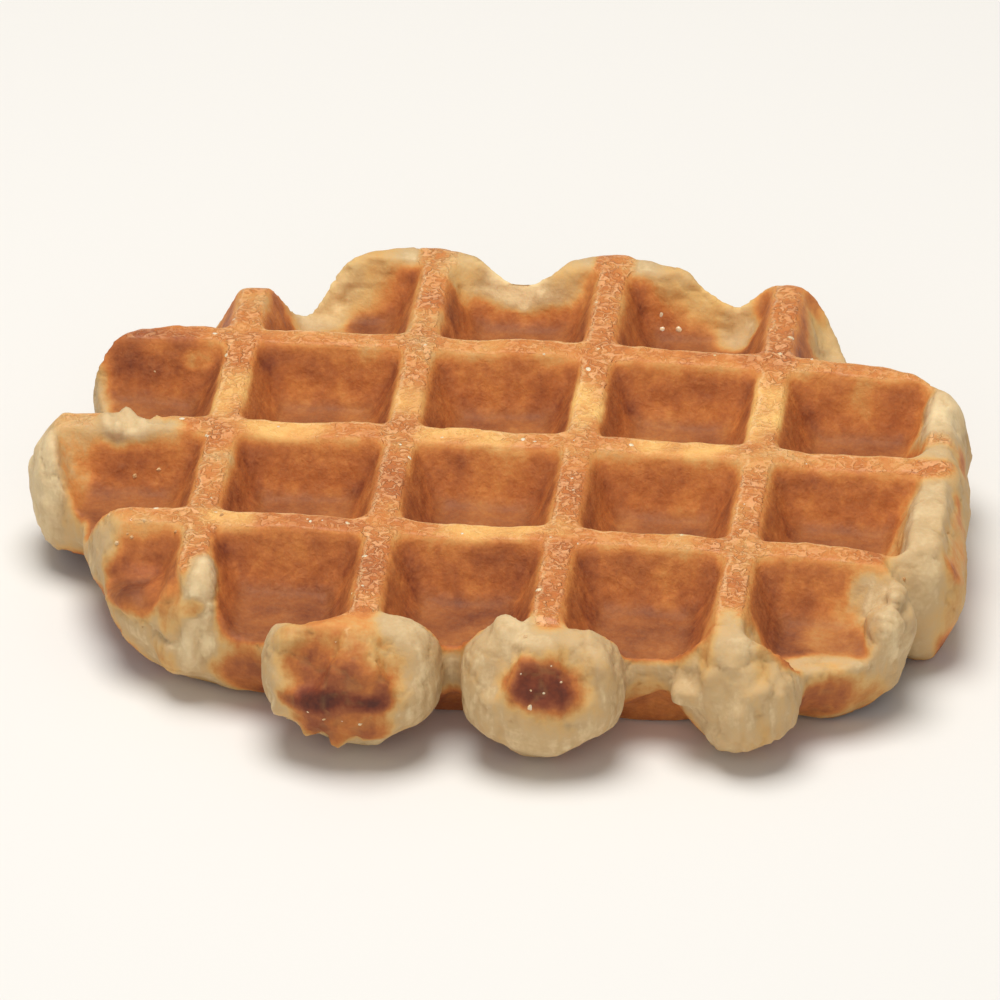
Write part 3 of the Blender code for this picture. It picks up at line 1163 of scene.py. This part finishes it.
    def plate_block(self, face: Face) -> bpy.types.Object:
        """A closed block that is bounded by one side of the dough.

        Args:
            face: The side that bounds it.

        Returns:
            The block, which reaches from that side past the other one.
        """
        bm = bmesh.new()
        along = int(2 * self.half_length / self.grid_step)
        across = int(2 * self.half_width / self.grid_step)
        bmesh.ops.create_grid(bm, x_segments=along, y_segments=across, size=1.0)
        far = len(bm.verts)
        bmesh.ops.extrude_face_region(bm, geom=bm.faces[:])
        mesh = bpy.data.meshes.new(f"{face.name.lower()}_side")
        bm.to_mesh(mesh)
        places = read_points(mesh) * MM
        places[:, 0] *= self.half_length
        places[:, 1] *= self.half_width
        clear = self.plate_clearance
        places[:far, 2] = -clear if face is Face.UPPER else self.dough.iron.thickness + clear
        places[far:, 2] = self.dough.side(places[far:, 0], places[far:, 1], face)
        for vert, place in zip(bm.verts, places * MM):
            vert.co = place
        bmesh.ops.recalc_face_normals(bm, faces=bm.faces[:])
        bm.to_mesh(mesh)
        bm.free()
        return new_object(mesh.name, mesh)

    def press(self) -> None:
        """Makes the dough that is left between the two plates, with an even skin."""
        self.piece = self.plate_block(Face.UPPER)
        self.piece.name = "waffle_crust"
        other = self.plate_block(Face.LOWER)
        meet = {"operation": "INTERSECT", "solver": "MANIFOLD", "object": other}
        add_modifier(self.piece, "BOOLEAN", "between the plates", **meet)
        add_modifier(self.piece, "REMESH", "even skin", mode="VOXEL", voxel_size=self.voxel * MM)
        add_modifier(self.piece, "SMOOTH", "soften", factor=0.5, iterations=1)
        bake_modifiers(self.piece)
        bpy.data.objects.remove(other, do_unlink=True)
        self.thin_underside()

    def thin_underside(self) -> None:
        """Spends fewer faces below than above, so that the piece stays within its count."""
        mesh = self.piece.data
        mesh.calc_loop_triangles()
        share = self.triangles / len(mesh.loop_triangles)
        if share >= 1.0:
            return
        low = read_points(mesh)[:, 2] < self.dough.iron.middle - 1.0
        below = self.piece.vertex_groups.new(name="below")
        below.add([int(i) for i in np.flatnonzero(low)], 1.0, "REPLACE")
        fewer = {"ratio": share, "vertex_group": below.name, "vertex_group_factor": 1.0}
        add_modifier(self.piece, "DECIMATE", "fewer faces below", **fewer)
        bake_modifiers(self.piece)

    def gaps(self, places: Array) -> tuple[Array, Array]:
        """How far each point is from the nearer plate, and how deep in a pocket it lies.

        Args:
            places: The points in millimetres.

        Returns:
            The distances square to the plate, and the pockets' depths there.
        """
        x, y, z = places.T
        step = self.slope_step
        found, depths = [], []
        for face in Face:
            here = self.dough.plate(x, y, face)
            lean_x = (self.dough.plate(x + step, y, face) - here) / step
            lean_y = (self.dough.plate(x, y + step, face) - here) / step
            square = 1.0 / np.sqrt(1.0 + lean_x**2 + lean_y**2)
            found.append(np.maximum(face.value * (here - z), 0.0) * square)
            depths.append(self.dough.iron.depth(x, y, face))
        return np.minimum(*found), np.where(found[0] < found[1], *depths)

    def mark(self, places: Array, outward: Array) -> dict[str, Array]:
        """Works out the crust's masks.

        Args:
            places: The points before their fine relief, in millimetres.
            outward: The directions that the surface faces there.

        Returns:
            Each mask's name and its values, from 0 to 1.
        """
        x, y, z = places.T
        aside, ahead, up = outward.T
        iron = self.dough.iron
        gap, pocket = self.gaps(places)
        wander = grain(places, 6.5, 4, 4.0)
        broad = grain(places, 17.0, 2, 11.0)
        column, row = iron.beside_column(x), iron.beside_row(y)
        off = np.abs(column)
        rib_top = fade(np.abs(up), 0.75, 0.95) * fade(pocket, 1.6, 0.5)
        wall = fade(np.abs(up), 0.92, 0.6) * fade(pocket, 0.3, 1.5)

        near = np.exp(-np.maximum(gap - 0.35, 0.0) / 0.85)
        edge = self.dough.depth(x, y) + 0.8 * wander
        spread = 5.0 * fade(y, 34, 44) * fade(off, 4, 9)
        rim = fade(y, 49, 52) * fade(off, 4.5, 8)
        touched = near * fade(edge, -0.3, 1.0 + spread)
        touched = touched * (1.0 - 0.9 * rim) * (1.0 - fade(y, 51.5, 53) * fade(off, 2.4, 3.6))

        # How far each place is baked; some of the terms below are painted shade and painted
        # highlight, not baking.
        level = 0.44 + 0.08 * broad + (0.06 + 0.03 * wall) * wander
        level += 0.15 * fade(pocket, 0.3, 2.6)
        level -= 0.02 * fade(pocket, 3, 7)
        level += 0.07 * fade(pocket, 7.2, 8.9)
        # Darker towards the front and on the front pockets' floors: partly more baking, partly
        # painted shade where the ribs in front keep light off.
        level += 0.03 * fade(y, 10, -45)
        level += 0.10 * fade(y, -31, -42) * fade(pocket, 5, 8)
        # Painted shade: walls that face left or right are darker, as less light falls on them.
        level += 0.08 * fade(np.abs(aside), 0.45, 0.85) * fade(pocket, 0.8, 2.6)
        # Painted highlight: a thin lighter band along the rounded edges of the rib tops.
        level -= 0.04 * fade(pocket, 0.05, 0.2) * fade(pocket, 0.9, 0.4)
        # Painted shade: darker where two walls of a pocket meet.
        level += 0.13 * self.corner(x, y) * fade(pocket, 0.6, 3) * wall
        # Painted highlight: rib edges that face back are lighter.
        level -= 0.10 * fade(ahead, 0.15, 0.5) * fade(pocket, 0.9, 0.4)
        level += 0.12 * fade(-up, 0.1, 0.3) * fade(-up, 0.95, 0.75)

        bake_and_painted_light = CREAM.value + (level - CREAM.value) * touched**0.8 + 0.10 * rim
        pale = np.zeros(len(places))
        traits = {trait: np.zeros(len(places)) for trait in Trait}
        for patch in self.patches():
            cover = patch.cover(places, wander)
            if isinstance(patch.kind, Trait):
                traits[patch.kind] = np.maximum(traits[patch.kind], cover)
                continue
            bake_and_painted_light = bake_and_painted_light + (patch.kind.value - bake_and_painted_light) * cover
            if patch.kind in (CREAM, MILK):
                pale = np.maximum(pale, cover)
        touched = touched * (1.0 - pale) * (1.0 - 0.9 * traits[TORN])
        on_rib = fade(pocket, 1.6, 0.4) * touched
        gold = traits[GOLD] * np.maximum(on_rib, 0.7 * fade(y, 44, 47))
        shoulder = fade(off, 2.2, 3.4) * fade(self.dough.knob_reach(x, y), 1.2, 0.9)
        caramel = fade(touched, 0.3, 0.8) * (0.12 + 0.88 * rib_top)
        caramel = caramel * (0.5 + 0.5 * fade(wander, -0.8, 0))
        caramel = caramel * (1.0 - shoulder) * fade(y, -53, -50)
        caramel = caramel * (0.6 + 0.4 * fade(off + 1.5 * broad, 4.5, 2)) * (1.0 - 0.35 * gold)
        return {
            "bake_and_painted_light": bake_and_painted_light,
            "touched": touched,
            "pressed": touched * fade(y, -57.5, -54),
            "caramel": caramel,
            "wall": wall,
            "gold": gold,
            "fold": fade(np.abs(grain(places, 6, 3, 47)), 0.11, 0) * fade(touched, 0.6, 0.2),
            "crown": rib_top * fade(z, iron.middle, iron.middle + 2) * touched,
            "column": 0.5 + column / iron.pitch,
            "row": 0.5 + row / iron.pitch,
            "torn": traits[TORN],
            # Painted shade: the floors of deep upper pockets, which the colour multiplies darker.
            "deep": fade(pocket, 5.5, 8.6) * fade(up, 0.4, 0.95) * touched,
        }

    def corner(self, x: Array, y: Array) -> Array:
        """How close each place is to where two walls of an upper pocket meet, from 0 to 1, for the
        painted shade there.
        """
        apart = np.abs(self.dough.iron.beside_column(x)) - np.abs(self.dough.iron.beside_row(y))
        return np.exp(-((apart / self.corner_shade_width) ** 2))

    def roughen(self, places: Array, outward: Array, masks: dict[str, Array]) -> Array:
        """Adds the relief that a plate or a free edge leaves.

        Args:
            places: The points in millimetres.
            outward: The directions that the surface faces there.
            masks: The crust's masks.

        Returns:
            The moved points.
        """
        free = 1.0 - fade(masks["touched"], 0.2, 0.7)
        lumps = grain(places, 5.5, 2, 21.0)
        fine = grain(places, 1.9, 2, 33.0)
        height = self.lump * lumps * (0.35 + 0.65 * (1.0 - masks["wall"])) + self.fine_lump * fine
        height = height + free * self.free_lump * lumps - self.fold * masks["fold"]
        tears = 1.0 - 2.6 * np.abs(grain(places * np.array((1.0, 1.0, 0.6)), 4.6, 3, 60.0))
        height = height + masks["torn"] * self.torn_lump * (tears - 0.75)
        for row in self.dough.swell_rows:
            height = height + Swell(*row).height(places)
        moved = places + outward * height[:, None]
        moved[:, 2] = np.clip(moved[:, 2], 0.0, self.dough.iron.thickness + self.skin_over_plate)
        return moved

    def build(self) -> None:
        """Builds the piece, marks it and puts it where the frame's node is."""
        self.press()
        mesh = self.piece.data
        places = read_points(mesh)
        low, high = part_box(NODE)
        middle = np.array(((low.x + high.x) / 2.0, (low.y + high.y) / 2.0)) / MM
        own = (places.min(axis=0) + places.max(axis=0)) / 2.0
        self.centre = np.array((own[0] - middle[0], own[1] - middle[1], 0.0))
        outward = read_rows(mesh.vertex_normals, "vector")
        masks = self.mark(places, outward)
        write_points(mesh, self.roughen(places, outward, masks) - self.centre)
        for name, values in masks.items():
            write_mask(mesh, name, values)
        mesh.shade_smooth()

    def dress(self) -> None:
        """Gives the piece its finish and its place in the frame."""
        self.piece.data.materials.clear()
        self.piece.data.materials.append(self.finish.material())
        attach(self.piece, BODY)
        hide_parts(NODE)

    def meet(self, start: tuple[float, float, float], way: Vector) -> Hit:
        """The first crust that a line from a place on the grid meets, and the way it faces."""
        hit, place, facing, _ = self.piece.ray_cast(Vector(start - self.centre) * MM, way)
        return (place, facing) if hit else None


@dataclass
class Scraps:
    """Bits that lie on the crust, too small to be pieces of their own."""

    crust: Crust
    seed: int
    least: float
    most: float
    uneven: tuple[float, float]
    sink: float
    above: float = 50.0
    piece: bpy.types.Object | None = None

    def lay(
        self, bm: bmesh.types.BMesh, draw: random.Random, hit: Hit, size: float, melted: bool
    ) -> None:
        """Adds one lumpy bit where it lies on the crust.

        Args:
            bm: What the bit is added to.
            draw: What its lumps are drawn from.
            hit: The place on the crust, and the way that it faces.
            size: The bit's radius, in metres.
            melted: Whether it melted flat.
        """
        place, facing = hit
        made = bmesh.ops.create_icosphere(bm, subdivisions=1, radius=size)["verts"]
        for vert in made:
            vert.co *= draw.uniform(*self.uneven)
        form = Matrix()
        if melted:
            form = Matrix.Diagonal((draw.uniform(0.8, 1.3), draw.uniform(0.7, 1.0), 0.62, 1.0))
        turn = Matrix.Rotation(draw.uniform(0.0, math.tau), 4, "Z")
        tilt = facing.to_track_quat("Z", "Y").to_matrix().to_4x4()
        sunk = Matrix.Translation(place - facing * size * self.sink)
        bmesh.ops.transform(bm, matrix=sunk @ tilt @ turn @ form, verts=made)


@dataclass
class PearlSugar(Scraps):
    """Bits of pearl sugar that stayed whole or melted into the ribs."""

    seed: int = 11
    least: float = 0.35
    most: float = 0.95
    uneven: tuple[float, float] = (0.72, 1.12)
    sink: float = 0.35
    finish: SugarFinish = field(default_factory=SugarFinish)
    scattered: int = 46
    scatter_width: float = 1.5
    least_level: float = 0.6
    clinging: Rows = (
        (13.1, -90, 15.6, 0.55),
        (13.2, -90, 13, 0.8),
        (16, -90, 19.2, 0.5),
        (15, -90, 15, 0.6),
        (17.5, -90, 17, 0.4),
        (11.5, -90, 18, 0.4),
        (-16.3, -90, 20, 0.4),
        (-17.6, -90, 9.4, 0.6),
        (-14.9, -90, 9.2, 0.8),
        (-12.3, -90, 8.8, 0.7),
        (-20, -90, 10.5, 0.5),
        (21.6, 38, 15.8, 1.3),
        (22, 38, 14, 1.1),
        (24.4, 38, 14.2, 1.2),
        (-53, 15, 17, 0.5),
    )

    def places(self) -> list[tuple[float, float, float]]:
        """Where the bits lie on the upper side.

        Returns:
            X, y and size of each bit, in millimetres on the ribs' grid.
        """
        column, row = self.crust.dough.iron.column, self.crust.dough.iron.row
        places = [
            (-48.6, 4.2, 1.5),
            (-46.2, 1.6, 1.2),
            (-43.8, 3.4, 1.2),
            (-42.0, -2.8, 0.8),
            (-43.6, -9.6, 1.2),
            (-45.2, -15.0, 1.1),
            (-47.0, -24.4, 1.4),
            (column(1) - 1.5, 22.0, 1.0),
            (column(3) + 5.0, 37.5, 2.0),
            (column(2) - 4.4, -46.8, 1.5),
            (column(4) + 6.2, 4.5, 1.2),
            (5.5, 0.8, 1.3),
            (7.4, 0.2, 0.7),
        ]
        draw = random.Random(self.seed)
        for _ in range(self.scattered):
            size = draw.uniform(self.least, self.most)
            if draw.random() < 0.5:
                rib = column(draw.randint(1, 4))
                x, y = rib + draw.gauss(0.0, self.scatter_width), draw.uniform(-44.0, 46.0)
            else:
                rib = row(draw.randint(1, 3))
                x, y = draw.uniform(-52.0, 60.0), rib + draw.gauss(0.0, self.scatter_width)
            places.append((x, y, size))
        return places

    def build(self) -> None:
        """Joins all the bits into one piece."""
        draw = random.Random(self.seed + 1)
        bm = bmesh.new()
        meet = self.crust.meet
        tops = [(meet((x, y, self.above), DOWN), size) for x, y, size in self.places()]
        bits = [(hit, size) for hit, size in tops if hit and hit[1].z >= self.least_level]
        bits += [(meet((x, y, z), BACK), size) for x, y, z, size in self.clinging]
        for hit, size in bits:
            if hit:
                self.lay(bm, draw, hit, size * MM, True)
        self.piece = mesh_object("pearl_sugar", bm)
        self.piece.data.shade_smooth()
        add_modifier(self.piece, "SUBSURF", "melted edges", levels=1, render_levels=1)

    def dress(self) -> None:
        """Gives the sugar its finish and its place in the frame."""
        self.piece.data.materials.append(self.finish.material())
        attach(self.piece, BODY)


@dataclass
class Crumbs(Scraps):
    """Scraps of crumb that hang on the torn edges."""

    seed: int = 23
    least: float = 0.2
    most: float = 0.5
    uneven: tuple[float, float] = (0.6, 1.2)
    sink: float = 0.3
    finish: CrumbFinish = field(default_factory=CrumbFinish)
    count: int = 34

    def homes(self) -> Rows:
        """Where the scraps gather.

        Returns:
            X, y and spread of each gathering, in millimetres on the ribs' grid.
        """
        column = self.crust.dough.iron.column
        return (
            (-54.0, 2.0, 4.5),
            (-51.0, -25.0, 3.5),
            (column(2) - 6.0, -49.0, 5.0),
            (column(3), -50.0, 5.0),
            (column(1) + 4.0, -26.0, 2.5),
            (column(1) - 13.0, -27.0, 2.5),
            (60.0, -24.0, 4.0),
        )

    def build(self) -> None:
        """Joins all the scraps into one piece."""
        draw = random.Random(self.seed)
        bm = bmesh.new()
        for _ in range(self.count):
            x, y, spread = draw.choice(self.homes())
            start = (draw.gauss(x, spread), draw.gauss(y, spread), self.above)
            hit = self.crust.meet(start, DOWN)
            if hit:
                self.lay(bm, draw, hit, draw.uniform(self.least, self.most) * MM, False)
        self.piece = mesh_object("crumbs", bm)

    def dress(self) -> None:
        """Gives the crumbs their finish and their place in the frame."""
        self.piece.data.materials.append(self.finish.material())
        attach(self.piece, BODY)


@dataclass
class Studio:
    """A pale floor, soft light and the camera."""

    dough: Dough
    centre: Array
    finish: FloorFinish = field(default_factory=FloorFinish)
    turn: float = math.radians(6.0)
    rise: float = math.radians(31.0)
    view_width: float = 150.34
    sensor: float = 36.0
    aim_right: float = 2.12
    aim_up: float = -9.47
    distance: float = 3.0
    floor_size: float = 4.0
    sky_colour: Colour = (1.0, 0.99, 0.97)
    sky_strength: float = 0.31

    def camera(self) -> None:
        """Sets the camera up the waffle's front, well back, with a long lens."""
        right = Vector((math.cos(self.turn), math.sin(self.turn), 0.0))
        away = Vector((math.sin(self.turn), -math.cos(self.turn), 0.0)) * math.cos(self.rise)
        back = away + Vector((0.0, 0.0, math.sin(self.rise)))
        up = back.cross(right)
        aim = right * self.aim_right + up * self.aim_up
        aim += Vector((-self.centre[0], -self.centre[1], self.dough.iron.thickness))
        data = bpy.data.cameras.new("camera")
        data.sensor_width = self.sensor
        data.lens = self.sensor * self.distance / (self.view_width * MM)
        data.clip_end = 50.0
        made = new_object("camera", data)
        stand = Matrix.Translation(aim * MM + back * self.distance)
        made.matrix_world = stand @ Matrix((right, up, back)).transposed().to_4x4()
        bpy.context.scene.camera = made

    def floor(self) -> None:
        """Lays the floor that the waffle rests on."""
        bm = bmesh.new()
        bmesh.ops.create_grid(bm, x_segments=1, y_segments=1, size=self.floor_size / 2.0)
        made = mesh_object("floor", bm)
        made.data.materials.append(self.finish.material())

    def lamp(self, name: str, place: Vector, size: float, power: float, colour: Colour) -> None:
        """Hangs one soft lamp that looks at the waffle.

        Args:
            name: What to call it.
            place: Where it hangs, in metres.
            size: Its width, in metres.
            power: Its power, in watts.
            colour: Its colour.
        """
        data = bpy.data.lights.new(name, "AREA")
        configure(data, {"shape": "DISK", "size": size, "energy": power, "color": colour})
        made = new_object(name, data)
        made.location = place
        made.rotation_euler = (-place).to_track_quat("-Z", "Y").to_euler()

    def build(self) -> None:
        """Sets up the whole studio."""
        self.floor()
        self.lamp("overhead", Vector((-0.06, 0.02, 0.90)), 0.6, 7.8, (1.0, 0.97, 0.92))
        self.lamp("front_fill", Vector((0.05, -0.9, 0.42)), 0.9, 1.9, (1.0, 0.98, 0.95))
        world = bpy.data.worlds.new("studio")
        world.use_nodes = True
        sky = {"Color": (*self.sky_colour, 1.0), "Strength": self.sky_strength}
        NodeSheet(world.node_tree).feed(world.node_tree.nodes["Background"], sky)
        bpy.context.scene.world = world
        bpy.context.scene.view_settings.view_transform = "Standard"
        self.camera()


def main() -> None:
    """Builds and dresses the waffle's pieces, then the studio."""
    logging.basicConfig(level=logging.INFO, format="%(name)s: %(message)s")
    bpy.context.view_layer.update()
    crust = Crust()
    for part in (crust, PearlSugar(crust), Crumbs(crust)):
        part.build()
        part.dress()
        log.info("%s: %d points", part.piece.name, len(part.piece.data.vertices))
    Studio(crust.dough, crust.centre).build()


if __name__ == "__main__":
    main()
